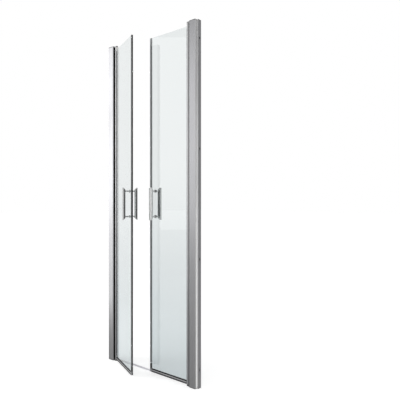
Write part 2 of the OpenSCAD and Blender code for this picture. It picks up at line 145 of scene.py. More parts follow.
def add_node(tree: Tree, kind: str, inputs: dict | None = None,
             **settings: object) -> bpy.types.Node:
    """Adds a node, sets its properties, and sets or links its sockets.

    Args:
        tree: the node tree that takes the node.
        kind: the node's type name.
        inputs: socket names or numbers, each with a value or an output socket to link.
        **settings: properties of the node.

    Returns:
        The new node.
    """
    node = tree.nodes.new(kind)
    for key, value in settings.items():
        setattr(node, key, value)
    for key, value in (inputs or {}).items():
        if isinstance(value, Socket):
            tree.links.new(value, node.inputs[key])
        else:
            node.inputs[key].default_value = value
    return node


def calculate(tree: Tree, operation: str, *values: Socket | float) -> Socket:
    """Adds a node that calculates with numbers.

    Args:
        tree: the node tree that takes it.
        operation: what it does.
        *values: its numbers or sockets, in their order.

    Returns:
        The socket with the result.
    """
    return add_node(tree, "ShaderNodeMath", dict(enumerate(values)), operation=operation).outputs[0]


def calculate_vector(tree: Tree, operation: str, *values: Colour) -> bpy.types.Node:
    """Adds a node that calculates with vectors.

    Args:
        tree: the node tree that takes it.
        operation: what it does.
        *values: its vectors or sockets, in their order.

    Returns:
        The node, whose output is Vector, or Value for a length or a distance.
    """
    return add_node(tree, "ShaderNodeVectorMath", dict(enumerate(values)), operation=operation)


def new_material(name: str) -> tuple[bpy.types.Material, Tree]:
    """Makes a material with an empty node tree.

    Args:
        name: name of the finish.

    Returns:
        The material and its tree.
    """
    material = bpy.data.materials.new(name)
    material.use_nodes = True
    material.node_tree.nodes.clear()
    return material, material.node_tree


def object_point(tree: Tree) -> Socket:
    """The point that is shaded, in the object's own coordinates."""
    return add_node(tree, "ShaderNodeTexCoord").outputs["Object"]


def object_axes(tree: Tree) -> bpy.types.NodeOutputs:
    """The same point's X, Y and Z, as three sockets."""
    return add_node(tree, "ShaderNodeSeparateXYZ", {"Vector": object_point(tree)}).outputs


def noise(tree: Tree, sizes: Sequence[float], detail: float) -> Socket:
    """A cloudy noise of real size.

    Args:
        tree: the material's tree.
        sizes: length of one cloud along X, Y and Z in metres.
        detail: number of finer layers on it.

    Returns:
        The socket with its value, about a half.
    """
    point = add_node(tree, "ShaderNodeMapping",
                     {"Vector": object_point(tree), "Scale": [1 / size for size in sizes]})
    cloud = add_node(tree, "ShaderNodeTexNoise",
                     {"Vector": point.outputs["Vector"], "Scale": 1.0, "Detail": detail})
    return cloud.outputs["Fac"]


def spread(tree: Tree, value: Socket, ends: tuple[float, float]) -> Socket:
    """Stretches the middle of a noise over a range.

    Args:
        tree: the material's tree.
        value: the noise.
        ends: lower and upper end of the range.

    Returns:
        The socket with the stretched value.
    """
    stretch = add_node(tree, "ShaderNodeMapRange",
                       {"Value": value, "From Min": NOISE_MIDDLE[0], "From Max": NOISE_MIDDLE[1],
                        "To Min": ends[0], "To Max": ends[1]})
    return stretch.outputs["Result"]


def wander(tree: Tree, value: Socket, roughness: float, play: tuple[float, float]) -> Socket:
    """Lets a roughness wander with a noise.

    Args:
        tree: the material's tree.
        value: the noise.
        roughness: the finish's own roughness.
        play: how far the noise takes it down and up.

    Returns:
        The socket with the roughness.
    """
    return spread(tree, value, (roughness + play[0], roughness + play[1]))


def relief(tree: Tree, height: Socket, strength: float, depth: float) -> Socket:
    """Raises and sinks a surface by a noise.

    Args:
        tree: the material's tree.
        height: the noise.
        strength: share of it that shows.
        depth: its depth in metres.

    Returns:
        The socket with the normal.
    """
    bump = add_node(tree, "ShaderNodeBump",
                    {"Height": height, "Strength": strength, "Distance": depth})
    return bump.outputs["Normal"]


def shaded(tree: Tree, colour: Colour, tone: Socket) -> Socket:
    """Makes a colour lighter and darker.

    Args:
        tree: the material's tree.
        colour: its socket or its linear value.
        tone: the factor.

    Returns:
        The socket with the result.
    """
    base = colour if isinstance(colour, Socket) else colour[:3]
    scaled = add_node(tree, "ShaderNodeVectorMath", {0: base, "Scale": tone}, operation="SCALE")
    return scaled.outputs["Vector"]


def tinted(tree: Tree, base: Colour, mask: Socket, colour: Colour) -> Socket:
    """Lays one colour over another where a mask says so.

    Args:
        tree: the material's tree.
        base: the socket or the linear value of the colour underneath.
        mask: 1 where the new colour shows.
        colour: its socket or its linear value.

    Returns:
        The socket with the result.
    """
    mix = add_node(tree, "ShaderNodeMix", {"Factor": mask, 6: base, 7: colour}, data_type="RGBA")
    return mix.outputs[2]


def painted_height_drift(tree: Tree, foot: str, head: str) -> Socket:
    """Painted light and shade: a colour that drifts from the foot of the door to its head.

    Args:
        tree: the material's tree.
        foot: hex colour on the floor.
        head: hex colour from the drift height upwards.

    Returns:
        The socket with the colour.
    """
    share = add_node(tree, "ShaderNodeMapRange",
                     {"Value": object_axes(tree)["Z"], "From Min": 0.0, "From Max": PAINTED_DRIFT_HEIGHT},
                     interpolation_type="SMOOTHSTEP")
    return tinted(tree, linear(foot), share.outputs["Result"], linear(head))


def beside_wall(tree: Tree) -> Socket:
    """Finds the faces in the narrow strip between a post and its wall, where a painted highlight
    goes.

    Args:
        tree: the material's tree.

    Returns:
        A socket that is 1 on those faces and 0 elsewhere.
    """
    reach = calculate(tree, "ABSOLUTE", object_axes(tree)["X"])
    middle, half = (WALL_X + POST_WALL_X) / 2, (WALL_X - POST_WALL_X) / 2
    return calculate(tree, "COMPARE", reach, middle, half)


def corner_highlight_mask(tree: Tree, reach: float) -> Socket:
    """Finds the upright corners between the posts and their wall channels, for a painted highlight.

    Args:
        tree: the material's tree.
        reach: how far from the corner the painted highlight goes, in metres.

    Returns:
        A socket that is 1 within reach of a corner and 0 elsewhere.
    """
    folded = calculate_vector(tree, "ABSOLUTE", object_point(tree)).outputs["Vector"]
    level = calculate_vector(tree, "MULTIPLY", folded, (1, 1, 0)).outputs["Vector"]
    far = calculate_vector(tree, "DISTANCE", level, (POST_WALL_X, CHANNEL_HALF, 0)).outputs["Value"]
    return calculate(tree, "LESS_THAN", far, reach)


def near_wall_holes(tree: Tree) -> Socket:
    """Finds the wall screw holes and a ring round each, for painted shade.

    Args:
        tree: the material's tree.

    Returns:
        A socket that is 1 within a rim's reach of a hole's middle line and 0 elsewhere.
    """
    axes = object_axes(tree)
    up = calculate(tree, "SUBTRACT", axes["Z"], WALL_HOLE_Z + WALL_HOLE_PITCH / 2)
    cell = calculate(tree, "FLOORED_MODULO", up, WALL_HOLE_PITCH)
    off = calculate(tree, "SUBTRACT", cell, WALL_HOLE_PITCH / 2)
    place = add_node(tree, "ShaderNodeCombineXYZ", {"X": axes["Y"], "Y": off}).outputs["Vector"]
    far = calculate_vector(tree, "LENGTH", place).outputs["Value"]
    return calculate(tree, "LESS_THAN", far, WALL_HOLE_RIM)


def lower_flute(tree: Tree) -> Socket:
    """Finds the lowest flute of a bottom rail, for painted shade: 1 below its upper edge and 0
    elsewhere.
    """
    return calculate(tree, "LESS_THAN", object_axes(tree)["Z"], FLUTE_TOP)


def seal_seat(tree: Tree) -> Socket:
    """Finds the end faces of the free edges' strips, where the seal is pushed in, for painted
    shade.

    Args:
        tree: the material's tree.

    Returns:
        A socket that is 1 within reach of either strip's end and 0 elsewhere.
    """
    level = calculate_vector(tree, "MULTIPLY", object_point(tree), (1, 1, 0)).outputs["Vector"]
    ends = [tuple(side.place @ Vector((STRIP_END, 0, 0))) for side in Side]
    far = [calculate_vector(tree, "DISTANCE", level, end).outputs["Value"] for end in ends]
    return calculate(tree, "LESS_THAN", calculate(tree, "MINIMUM", *far), SEAT_REACH)


def background_ray(tree: Tree) -> Socket:
    """Tells rays that see the background, straight, in a reflection or through glass.

    Args:
        tree: the tree of the world or the floor.

    Returns:
        A socket that is 1 for such a ray and 0 for one that only carries light.
    """
    path = add_node(tree, "ShaderNodeLightPath").outputs
    seen = calculate(tree, "MAXIMUM", path["Is Camera Ray"], path["Is Glossy Ray"])
    return calculate(tree, "MAXIMUM", seen, path["Is Transmission Ray"])


@dataclass(frozen=True)
class Finish:
    """A named finish. Each kind of finish draws its own surface."""

    name: str

    def surface(self, tree: Tree) -> dict[str, object]:
        """Draws the textures of the surface.

        Args:
            tree: the material's tree.

        Returns:
            The surface shader's sockets, each with a value or with the output that drives it.
        """
        raise NotImplementedError

    def build(self) -> bpy.types.Material:
        """Builds the material.

        Returns:
            The finished material.
        """
        material, tree = new_material(self.name)
        shader = add_node(tree, "ShaderNodeBsdfPrincipled", self.surface(tree))
        add_node(tree, "ShaderNodeOutputMaterial", {"Surface": shader.outputs["BSDF"]})
        return material


@dataclass(frozen=True)
class AnodisedAluminium(Finish):
    """Extruded aluminium, etched and anodised silver: a satin metal with faint die lines."""

    foot: str
    head: str
    roughness: float = 0.34
    grain: Grain = Grain.UPRIGHT
    line_gap: float = 2.5 * MM
    line_length: float = 1250 * MM
    line_tones: tuple[float, float] = (0.94, 1.04)
    line_depth: float = 0.02 * MM
    bloom: tuple[float, ...] = (70 * MM, 70 * MM, 200 * MM)
    play: tuple[float, float] = (-0.03, 0.03)
    # Painted marks that only some profiles have: hex colours at the foot and the head of painted
    # highlights where the post and its channel face each other and in the corner between them, and
    # painted shade for the wall holes and the flute.
    wall_highlight: tuple[str, ...] = ()
    corner_highlight: tuple[str, ...] = ()
    corner_highlight_reach: float = 0.0
    hole_shade: str = ""
    flute_shade: str = ""

    def film(self, tree: Tree) -> Socket:
        """Draws the colour of the anodised film with its painted light and shade.

        Args:
            tree: the material's tree.

        Returns:
            The socket with the colour.
        """
        # Painted light and shade: a drift with height, highlights beside the wall and in the
        # corner, and shade in the wall holes and the lowest flute.
        film = painted_height_drift(tree, self.foot, self.head)
        if self.wall_highlight:
            film = tinted(tree, film, beside_wall(tree), painted_height_drift(tree, *self.wall_highlight))
        if self.corner_highlight:
            corner_lit = corner_highlight_mask(tree, self.corner_highlight_reach)
            film = tinted(tree, film, corner_lit, painted_height_drift(tree, *self.corner_highlight))
        if self.hole_shade:
            film = tinted(tree, film, near_wall_holes(tree), linear(self.hole_shade))
        if self.flute_shade:
            film = tinted(tree, film, lower_flute(tree), linear(self.flute_shade))
        return film

    def surface(self, tree: Tree) -> dict[str, object]:
        """Draws the film, its die lines and the bloom that breaks up its gleam.

        Args:
            tree: the material's tree.

        Returns:
            The surface shader's sockets.
        """
        # The die lines are about 0.3 mm apart in truth and are drawn at line_gap, because finer
        # ones would shimmer at this distance.
        sizes = [self.line_gap] * 3
        sizes[2 if self.grain is Grain.UPRIGHT else 0] = self.line_length
        lines = noise(tree, sizes, detail=3)
        bloom = noise(tree, self.bloom, detail=2)
        return {"Base Color": shaded(tree, self.film(tree), spread(tree, lines, self.line_tones)),
                "Roughness": wander(tree, bloom, self.roughness, self.play),
                "Metallic": 1.0,
                "Normal": relief(tree, lines, strength=0.12, depth=self.line_depth)}


@dataclass(frozen=True)
class TurnedSteel(Finish):
    """Stainless steel screws and pins, turned and tumbled: a grey metal with fine scuffs."""

    colour: str
    roughness: float = 0.3
    play: tuple[float, float] = (-0.06, 0.08)
    scuff: float = 1.1 * MM
    scuff_depth: float = 0.02 * MM

    def surface(self, tree: Tree) -> dict[str, object]:
        """Draws the scuffs.

        Args:
            tree: the material's tree.

        Returns:
            The surface shader's sockets.
        """
        # Tumbling scuffs are about 0.2 mm wide in truth and are drawn at scuff, so that they show.
        scuffs = noise(tree, [self.scuff] * 3, detail=4)
        return {"Base Color": linear(self.colour),
                "Roughness": wander(tree, scuffs, self.roughness, self.play),
                "Metallic": 1.0,
                "Normal": relief(tree, scuffs, strength=0.1, depth=self.scuff_depth)}


@dataclass(frozen=True)
class MouldedPlastic(Finish):
    """Injection-moulded nylon or acetal with a spark-eroded grain."""

    colour: str
    roughness: float = 0.5
    grit: float = 0.9 * MM
    grit_relief: float = 0.25
    flake: float = 0.0
    seat_shade: str = ""
    play: tuple[float, float] = (-0.05, 0.08)
    grit_depth: float = 0.05 * MM
    cloud: float = 25 * MM
    cloud_tones: tuple[float, float] = (0.93, 1.05)

    def surface(self, tree: Tree) -> dict[str, object]:
        """Draws the grain, faint clouds of tone and the slot for a seal.

        Args:
            tree: the material's tree.

        Returns:
            The surface shader's sockets.
        """
        # A spark-eroded grain is about 0.1 mm; it is drawn at grit, so that it still shows.
        grain = noise(tree, [self.grit] * 3, detail=3)
        cloud = noise(tree, [self.cloud] * 3, detail=2)
        base = linear(self.colour)
        # Painted shade in the slot for the seal.
        if self.seat_shade:
            base = tinted(tree, base, seal_seat(tree), linear(self.seat_shade))
        return {"Base Color": shaded(tree, base, spread(tree, cloud, self.cloud_tones)),
                "Roughness": wander(tree, grain, self.roughness, self.play),
                "IOR": 1.49,
                "Metallic": self.flake,
                "Normal": relief(tree, grain, strength=self.grit_relief, depth=self.grit_depth)}


@dataclass(frozen=True)
class ExtrudedRubber(Finish):
    """Black EPDM or grey soft vinyl, extruded: matt, with a faint drawn sheen along its length."""

    colour: str
    roughness: float = 0.62
    play: tuple[float, float] = (-0.07, 0.07)
    skin: tuple[float, ...] = (1.4 * MM, 1.4 * MM, 17 * MM)
    skin_depth: float = 0.04 * MM
    dust: tuple[float, ...] = (33 * MM, 33 * MM, 110 * MM)
    dust_tones: tuple[float, float] = (0.85, 1.2)

    def surface(self, tree: Tree) -> dict[str, object]:
        """Draws the drawn skin and the dust on it.

        Args:
            tree: the material's tree.

        Returns:
            The surface shader's sockets.
        """
        # The skin's drag marks are about 0.2 mm apart in truth; they are drawn wider, so that they
        # still give the sheen its break.
        skin = noise(tree, self.skin, detail=3)
        dust = noise(tree, self.dust, detail=2)
        tone = spread(tree, dust, self.dust_tones)
        return {"Base Color": shaded(tree, linear(self.colour), tone),
                "Roughness": wander(tree, skin, self.roughness, self.play),
                "IOR": 1.5,
                "Specular IOR Level": 0.15,
                "Normal": relief(tree, skin, strength=0.2, depth=self.skin_depth)}


@dataclass(frozen=True)
class ToughenedGlass(Finish):
    """Clear float glass, toughened: a green-grey body, flat faces and a faint roller wave."""

    foot: str
    head: str
    wave: tuple[float, ...] = (500 * MM, 500 * MM, 300 * MM)
    wave_depth: float = 0.05 * MM

    def surface(self, tree: Tree) -> dict[str, object]:
        """Draws the glass body's tint, with painted shade that deepens it towards the floor, and
        the wave that the furnace's rollers leave.

        Args:
            tree: the material's tree.

        Returns:
            The surface shader's sockets.
        """
        wave = noise(tree, self.wave, detail=1)
        # Painted shade deepens the tint towards the floor.
        return {"Base Color": painted_height_drift(tree, self.foot, self.head),
                "Roughness": 0.0,
                "IOR": 1.52,
                "Transmission Weight": 1.0,
                "Normal": relief(tree, wave, strength=0.05, depth=self.wave_depth)}


@dataclass(frozen=True)
class ClearPlastic(Finish):
    """Clear flexible vinyl or clear nylon: slightly milky, with soft die lines."""

    colour: str
    roughness: float = 0.12
    body: float = 1.0
    play: tuple[float, float] = (-0.05, 0.08)
    lines: tuple[float, ...] = (2 * MM, 2 * MM, 250 * MM)
    line_depth: float = 0.05 * MM

    def surface(self, tree: Tree) -> dict[str, object]:
        """Draws the soft die lines.

        Args:
            tree: the material's tree.

        Returns:
            The surface shader's sockets.
        """
        lines = noise(tree, self.lines, detail=2)
        return {"Base Color": linear(self.colour),
                "Roughness": wander(tree, lines, self.roughness, self.play),
                "IOR": 1.45,
                "Transmission Weight": 0.9,
                "Alpha": self.body,
                "Normal": relief(tree, lines, strength=0.15, depth=self.line_depth)}


FINISHES: dict[str, Finish] = {
    # Post: extruded, etched and anodised. Soft grey metal with fine upright die lines, drawn a
    # little darker towards the floor as painted shade. Painted highlights lighten the faces beside
    # the wall and the corner where it slides over the channel.
    "post_aluminium": AnodisedAluminium("satin_anodised_post", "#777778", "#8e8e90",
                                        wall_highlight=("#acacac", "#cacacb"),
                                        corner_highlight=("#f2f2f2", "#d2d2d2"), corner_highlight_reach=6 * MM),
    # Wall channel: extruded and left as it came from the die, so duller, with a touch of painted
    # shade towards the floor. Painted shade darkens its wall holes and a ring round each, so they
    # read as dark dots. A painted highlight lightens its faces beside the wall, and another in its
    # corner gives the light line beside the wall.
    "channel_aluminium": AnodisedAluminium("mill_finish_channel", "#7c7c7e", "#828284", 0.42,
                                           wall_highlight=("#a8a8a8", "#cacacb"),
                                           corner_highlight=("#f2f2f2", "#d2d2d2"), corner_highlight_reach=5 * MM,
                                           hole_shade="#141415"),
    # Hinge barrel: the same metal, bead-blasted before anodising: a soft, wide highlight up its
    # round, and painted shade that darkens it towards the floor.
    "barrel_aluminium": AnodisedAluminium("satin_anodised_barrel", "#828284", "#acacad", 0.58),
    # Bottom rail: anodised, with its die lines along the glass. Painted shade darkens the lowest
    # flute into a dark line under the light one.
    "rail_aluminium": AnodisedAluminium("satin_anodised_rail", "#9c9c9d", "#9c9c9d",
                                        grain=Grain.ACROSS, flute_shade="#3e3e40"),
    # Threshold: anodised paler than the posts, so that it reads as a thin light line on the floor.
    "threshold_aluminium": AnodisedAluminium("satin_anodised_threshold", "#f0eef2", "#f0eef2",
                                             grain=Grain.ACROSS),
    # Handle bars and posts: brushed fine, then bright anodised: clear edges and a crisp light face.
    "handle_aluminium": AnodisedAluminium("brushed_anodised_handle", "#babbbb", "#babbbb", 0.26),
    # Screws, pins and studs: stainless steel, turned and tumbled: small cool glints.
    "screw_steel": TurnedSteel("tumbled_stainless_steel", "#9a9b9c"),
    # Gaskets on post, rail and glass: extruded EPDM rubber, almost no sheen: the black lines.
    "black_epdm": ExtrudedRubber("black_epdm", "#0a0b0a"),
    # Drip seal: extruded soft vinyl, dark grey: the shadowed line under the rail.
    "drip_grey": ExtrudedRubber("grey_soft_vinyl", "#2c2d2e", 0.6),
    # Caps: glass-filled nylon, moulded against a spark-eroded die: near black. The lower pivot
    # blocks wear it as painted shade, being the same blocks as the silver upper ones.
    "dark_plastic": MouldedPlastic("grained_graphite_nylon", "#262728", 0.52),
    # Upper pivot blocks: die-cast, tumbled and lacquered silver: a grey block under the cap.
    "block_silver": TurnedSteel("satin_silver_casting", "#8a8a8b", 0.4),
    # Screw covers: moulded ABS, painted silver grey: three soft discs on the shower side.
    "cover_plastic": MouldedPlastic("silver_grey_abs", "#a2a3a4", 0.4),
    # Bushes: natural nylon, moulded: warm white rings that show only at the barrels' ends.
    "white_nylon": MouldedPlastic("natural_nylon", "#dddbd4", 0.45),
    # Free edge strips: graphite lacquer with metal flakes: dark grey with a satin gleam. Its
    # flakes, 0.05 mm in truth, are drawn 2 mm apart, and painted shade makes the slot for the seal
    # near black.
    "edge_grey": MouldedPlastic("satin_graphite_lacquer", "#868889", 0.4, grit=2 * MM,
                                grit_relief=0.12, flake=0.8, seat_shade="#161717"),
    # Feet of the free edges: satin black nylon, moulded: a dark block under each strip.
    "edge_black": MouldedPlastic("satin_black_nylon", "#242526", 0.45),
    # End caps of the rails: silver grey nylon, moulded: a lighter foot below the dark one.
    "cap_grey": MouldedPlastic("silver_grey_nylon", "#8f9092", 0.45),
    # Panes: clear float glass, toughened: a faint green-grey, deepened towards the floor by painted
    # shade.
    "leaf_glass": ToughenedGlass("clear_toughened_glass", "#c4ccce", "#e6eaea"),
    # Bulb seals on the free edges: clear soft vinyl, so thin that it hardly dims what is behind it.
    "clear_vinyl": ClearPlastic("clear_soft_vinyl", "#c8cccc", body=0.05),
    # Washers between glass and handle: clear nylon, moulded: a bright thin ring.
    "clear_nylon": ClearPlastic("clear_nylon", "#eef1f1", 0.1),
}


class Finisher:
    """Builds each finish once and puts it on CAD nodes and new pieces."""

    def __init__(self) -> None:
        """Starts with no material built."""
        self.built: dict[str, bpy.types.Material] = {}

    def material(self, slot: str) -> bpy.types.Material:
        """The material of a slot, built at its first use.

        Args:
            slot: name of the record's material slot.

        Returns:
            The slot's material.
        """
        if slot not in self.built:
            self.built[slot] = FINISHES[slot].build()
        return self.built[slot]

    def dress_nodes(self) -> None:
        """Gives every CAD node the finish of its material slot."""
        for part in frame["record"]["subparts"]:
            piece = frame["nodes"][part["node"]]
            finish = self.material(part["material_slot"])
            for index in range(len(piece.data.materials)):
                piece.data.materials[index] = finish
            log.info("%s wears %s", part["node"], finish.name)

    def dress_piece(self, piece: bpy.types.Object, slot: str) -> None:
        """Gives a new piece the finish of its slot.

        Args:
            piece: the finished piece.
            slot: name of the record's material slot.
        """
        piece.data.materials.clear()
        piece.data.materials.append(self.material(slot))


def deselect_all() -> None:
    """Leaves nothing selected, in object mode."""
    if bpy.context.object and bpy.context.object.mode != "OBJECT":
        bpy.ops.object.mode_set(mode="OBJECT")
    bpy.ops.object.select_all(action="DESELECT")


def make_active(piece: bpy.types.Object) -> None:
    """Selects one piece alone and makes it the active one.

    Args:
        piece: the piece to work on.
    """
    deselect_all()
    piece.select_set(True)
    bpy.context.view_layer.objects.active = piece


def select_faces(piece: bpy.types.Object, chosen: Callable[[Vector, Vector], bool]) -> None:
    """Enters edit mode with the faces selected that a test chooses.

    Args:
        piece: the mesh.
        chosen: says yes or no to a face from its centre and its normal.
    """
    make_active(piece)
    bpy.ops.object.mode_set(mode="EDIT")
    bpy.ops.mesh.select_mode(type="FACE")
    bpy.ops.mesh.select_all(action="DESELECT")
    bpy.ops.object.mode_set(mode="OBJECT")
    for face in piece.data.polygons:
        face.select = chosen(face.center, face.normal)
    bpy.ops.object.mode_set(mode="EDIT")


def add_disc(name: str, radius: float, height: float, sides: int = 48) -> bpy.types.Object:
    """Adds an upright cylinder on the origin as the start of a turned piece.

    Args:
        name: name of the piece.
        radius: its radius in metres.
        height: its height in metres.
        sides: number of faces round it.

    Returns:
        The cylinder, with its foot at height 0.
    """
    deselect_all()
    bpy.ops.mesh.primitive_cylinder_add(vertices=sides, radius=radius, depth=height,
                                        location=(0, 0, height / 2))
    piece = bpy.context.object
    piece.name = name
    bpy.ops.object.transform_apply(location=True, rotation=True, scale=True)
    return piece


def step_top(piece: bpy.types.Object, inset: float, rise: float) -> None:
    """Draws the top face of a turned piece in and pushes it up, or down, by a step.

    Args:
        piece: the mesh, with a flat top.
        inset: how far the face is drawn in, in metres.
        rise: how far it then moves up, in metres.
    """
    top = max(vertex.co.z for vertex in piece.data.vertices) - TOP_NEAR
    select_faces(piece, lambda centre, normal: normal.z > TOP_NORMAL and centre.z > top)
    if inset:
        bpy.ops.mesh.inset(thickness=inset, depth=0)
    bpy.ops.mesh.extrude_region_move(TRANSFORM_OT_translate={"value": (0, 0, rise)})
    bpy.ops.object.mode_set(mode="OBJECT")


def add_block(name: str, centre: Sequence[float], size: Sequence[float]) -> bpy.types.Object:
    """Adds a box as the start of a piece.

    Args:
        name: name of the piece.
        centre: middle of the box in metres.
        size: its three sides in metres.

    Returns:
        The box, with its place and size in its mesh.
    """
    deselect_all()
    bpy.ops.mesh.primitive_cube_add(size=1, location=tuple(centre))
    piece = bpy.context.object
    piece.name = name
    piece.scale = tuple(size)
    bpy.ops.object.transform_apply(location=True, rotation=True, scale=True)
    return piece


def bisect(piece: bpy.types.Object, point: Sequence[float], normal: Sequence[float]) -> None:
    """Cuts away what lies on the normal's side of a plane and closes the cut.

    Args:
        piece: the mesh to cut.
        point: a point of the plane.
        normal: the plane's normal, towards the waste.
    """
    make_active(piece)
    bpy.ops.object.mode_set(mode="EDIT")
    bpy.ops.mesh.select_all(action="SELECT")
    bpy.ops.mesh.bisect(plane_co=tuple(point), plane_no=tuple(normal), use_fill=True,
                        clear_outer=True)
    bpy.ops.object.mode_set(mode="OBJECT")


def round_edges(piece: bpy.types.Object, width: float, segments: int = 3,
                angle: float = 30.0) -> None:
    """Rounds the sharp edges of a piece and smooths its shading.

    Args:
        piece: the mesh to round.
        width: width of the rounding in metres.
        segments: number of faces across it.
        angle: least angle of an edge that is rounded, in degrees.
    """
    make_active(piece)
    bpy.ops.object.shade_smooth_by_angle(angle=SMOOTH_ANGLE)
    bevel = piece.modifiers.new("rounding", "BEVEL")
    bevel.width = width
    bevel.segments = segments
    bevel.limit_method = "ANGLE"
    bevel.angle_limit = math.radians(angle)
    bevel.harden_normals = True
    bpy.ops.object.modifier_apply(modifier=bevel.name)


def set_in_place(piece: bpy.types.Object, place: Matrix) -> None:
    """Moves a piece from where it was drawn to where it belongs.

    Args:
        piece: the piece, with its object at the origin.
        place: matrix from the piece's own axes to the row frame.
    """
    make_active(piece)
    piece.matrix_world = place
    bpy.ops.object.transform_apply(location=True, rotation=True, scale=True)


def copies_in_place(model: bpy.types.Object, name: str,
                    places: Sequence[Matrix]) -> bpy.types.Object:
    """Sets one copy of a modelled piece at each place and joins them.

    Args:
        model: the piece as it was modelled, which is removed.
        name: name of the joined piece.
        places: matrices from the model's own axes to the row frame.

    Returns:
        One object that holds all the copies.
    """
    copies = []
    for place in places:
        make_active(model)
        bpy.ops.object.duplicate(linked=False)
        copies.append(bpy.context.object)
        set_in_place(copies[-1], place)
    deselect_all()
    for copy in copies:
        copy.select_set(True)
    bpy.context.view_layer.objects.active = copies[0]
    bpy.ops.object.join()
    bpy.data.objects.remove(model)
    copies[0].name = name
    return copies[0]


@dataclass
class BarHandle:
    """Two flat bars, back to back, on turned posts that clamp the glass."""

    side: Side
    finisher: Finisher
    along: float = STRIP_END - 40.5 * MM
    middle: float = 974 * MM
    inner_face: float = 29.6 * MM
    depth: float = 13 * MM
    length: float = 187 * MM
    width: float = 20.5 * MM
    arris: float = 1.2 * MM
    pitch: float = 145 * MM
    glass_side: float = 4.5 * MM
    rosette_across: float = 12 * MM
    rosette_rise: float = 1.6 * MM
    rosette_slope: float = 0.6 * MM
    post_across: float = 8 * MM
    post_let_in: float = 0.2 * MM
    post_edge: float = 0.35 * MM

    def bar(self, name: str, face: int) -> bpy.types.Object:
        """Models one bar, with its ends cut at 45 degrees towards the glass.

        Args:
            name: name of the piece.
            face: 1 for the shower side and -1 for the outside.

        Returns:
            The finished bar on the leaf's own axes.
        """
        way = face if self.side is Side.LEFT else -face
        centre = way * (self.inner_face + self.depth / 2)
        far = way * (self.inner_face + self.depth)
        piece = add_block(name, (self.along, centre, self.middle),
                          (self.width, self.depth, self.length))
        for end in (-1, 1):
            tip = self.middle + end * self.length / 2
            bisect(piece, (self.along, far, tip), (0, -way, end))
        round_edges(piece, self.arris, 4)
        return piece

    def turned_post(self, name: str) -> bpy.types.Object:
        """Models one post upright: a rosette on the washer, then the shaft up to the bar.

        Args:
            name: name of the piece.

        Returns:
            The finished post, with its foot on the origin.
        """
        reach = self.inner_face - self.glass_side
        piece = add_disc(name, self.rosette_across / 2, self.rosette_rise)
        step_top(piece, (self.rosette_across - self.post_across) / 2, self.rosette_slope)
        step_top(piece, 0, reach - self.rosette_rise + self.post_let_in)
        round_edges(piece, self.post_edge, 3, 50)
        return piece

    def post_places(self) -> list[Matrix]:
        """Where the four posts stand, two on each face of the glass.

        Returns:
            Matrices from an upright post to the row frame.
        """
        places = []
        for way in (-1, 1):
            for end in (-1, 1):
                move = Matrix.Translation((self.along, way * self.glass_side,
                                           self.middle + end * self.pitch / 2))
                places.append(self.side.place @ move @ Matrix.Rotation(-way * math.pi / 2, 4, "X"))
        return places

    def build(self) -> list[bpy.types.Object]:
        """Builds the bars and posts, dresses them and lets them ride on their leaf.

        Returns:
            The finished pieces.
        """
        pieces = []
        for word, face in (("outer", -1), ("inner", 1)):
            node = f"{self.side.value}_{word}_handle"
            piece = self.bar(f"{node}_bar", face)
            set_in_place(piece, self.side.place)
            pieces.append((piece, node))
        node = f"{self.side.value}_handle_posts"
        model = self.turned_post("handle_post")
        pieces.append((copies_in_place(model, f"{node}_turned", self.post_places()), node))
        for piece, node in pieces:
            self.finisher.dress_piece(piece, "handle_aluminium")
            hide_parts(node)
            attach(piece, self.side.body)
        return [piece for piece, _ in pieces]


@dataclass
class ScrewCovers:
    """Three domed snap covers on the shower side of a post, over its clamping screws."""

    side: Side
    finisher: Finisher
    across: float = HALF_WIDTH - 23 * MM
    post_back: float = 13.9 * MM
    heights: tuple[float, ...] = (200 * MM, HEIGHT / 2, HEIGHT - 200 * MM)
    radius: float = 6.5 * MM
    rim: float = 2.2 * MM
    # Steps of the dome in millimetres: how far each draws in and how far it rises.
    dome: tuple[tuple[float, float], ...] = ((0.5, 0.45), (0.9, 0.4), (1.3, 0.3), (1.6, 0.15))
    cover_edge: float = 0.15 * MM

    def cover(self) -> bpy.types.Object:
        """Models one cover: a straight rim that steps in to a shallow dome.

        Returns:
            The finished cover, upright on the origin.
        """
        piece = add_disc("screw_cover", self.radius, self.rim)
        for inset, rise in self.dome:
            step_top(piece, inset * MM, rise * MM)
        round_edges(piece, self.cover_edge, 2, 50)
        return piece

    def build(self) -> list[bpy.types.Object]:
        """Builds the covers of one post.

        Returns:
            The one piece that holds them.
        """
        node = f"{self.side.value}_screw_covers"
        lie = Matrix.Rotation(-math.pi / 2, 4, "X")
        places = [Matrix.Translation((self.side.sign * self.across, self.post_back, height)) @ lie
                  for height in self.heights]
        piece = copies_in_place(self.cover(), f"{node}_domed", places)
        self.finisher.dress_piece(piece, "cover_plastic")
        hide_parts(node)
        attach(piece, "frame")
        return [piece]


